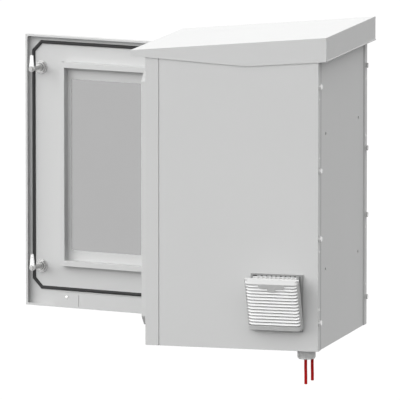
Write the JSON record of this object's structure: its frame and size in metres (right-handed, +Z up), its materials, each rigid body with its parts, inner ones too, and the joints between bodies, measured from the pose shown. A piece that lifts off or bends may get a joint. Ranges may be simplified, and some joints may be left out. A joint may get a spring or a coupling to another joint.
{
  "type": "utility cabinet",
  "caption": "Grey sheet-metal utility cabinet with a glazed hinged door, quarter-turn locks, sloping roof, tilting louvred air filter and a bottom cable gland, fixed by its rear panel.",
  "frame": {"origin": "middle of the four wall fixing holes, on the rear panel's outer face", "axes": "+Z up, +Y out of the rear towards the wall, -Y out of the door opening, +X to the side with the air filter"},
  "size_m": [0.7019, 1.0044, 0.9283],
  "materials": {
    "painted_sheet": "fine-textured powder coat",
    "zinc_steel": "zinc-plated",
    "lock_metal": "bright-plated die casting",
    "gland_plastic": "moulded polyamide",
    "rubber": "matt",
    "filter_plastic": "moulded, satin",
    "filter_fleece": "needled fleece",
    "smoked_pane": "smoked acrylic sheet",
    "wire_sheath": "satin"
  },
  "bodies": {
    "cabinet": {"front_frame": "painted_sheet", "floor_pan": "painted_sheet", "top_plate": "painted_sheet", "rear_panel": "painted_sheet", "right_panel": "painted_sheet", "left_panel": "painted_sheet", "roof": "painted_sheet", "panel_bolts": "zinc_steel", "panel_rivets": "zinc_steel", "roof_rails": "zinc_steel", "roof_bolts": "zinc_steel", "mounting_plate": "zinc_steel", "plate_studs": "zinc_steel", "plate_nuts": "zinc_steel", "hinge_frame_halves": "zinc_steel", "hinge_pins": "zinc_steel", "gland_body": "gland_plastic", "gland_locknut": "gland_plastic", "gland_dome": "gland_plastic", "gland_insert": "rubber", "gland_plugs": "rubber", "filter_base": "filter_plastic", "wire_1": "wire_sheath", "wire_2": "wire_sheath"},
    "door": {"door_panel": "painted_sheet", "door_gasket": "rubber", "stiffener_frame": "painted_sheet", "bottom_rail": "painted_sheet", "window_pane": "smoked_pane", "window_tape": "rubber", "lock_barrels": "lock_metal", "lock_washers": "lock_metal", "lock_nuts": "lock_metal", "hinge_door_halves": "zinc_steel"},
    "upper_lock": {"upper_lock_shaft": "lock_metal", "upper_lock_cam": "lock_metal", "upper_cam_screw": "lock_metal"},
    "lower_lock": {"lower_lock_shaft": "lock_metal", "lower_lock_cam": "lock_metal", "lower_cam_screw": "lock_metal"},
    "filter_flap": {"filter_cover": "filter_plastic", "filter_basket": "filter_plastic", "filter_mat": "filter_fleece"}
  },
  "joints": [
    {"name": "door_hinge", "type": "hinge", "parent": "cabinet", "child": "door", "pos_m": [-0.25, -0.482, 0], "axis": [0, 0, -1], "range_deg": [-103.3, 0]},
    {"name": "upper_lock_turn", "type": "hinge", "parent": "door", "child": "upper_lock", "pos_m": [-0.36448, -0.93584, 0.2645], "axis": [-0.9732, 0.23, 0], "range_deg": [-90, 0]},
    {"name": "lower_lock_turn", "type": "hinge", "parent": "door", "child": "lower_lock", "pos_m": [-0.36448, -0.93584, -0.2795], "axis": [-0.9732, 0.23, 0], "range_deg": [-90, 0]},
    {"name": "filter_cover_tilt", "type": "hinge", "parent": "cabinet", "child": "filter_flap", "pos_m": [0.271, -0.1085, -0.327], "axis": [0, 1, 0], "range_deg": [-19, 0]}
  ]
}
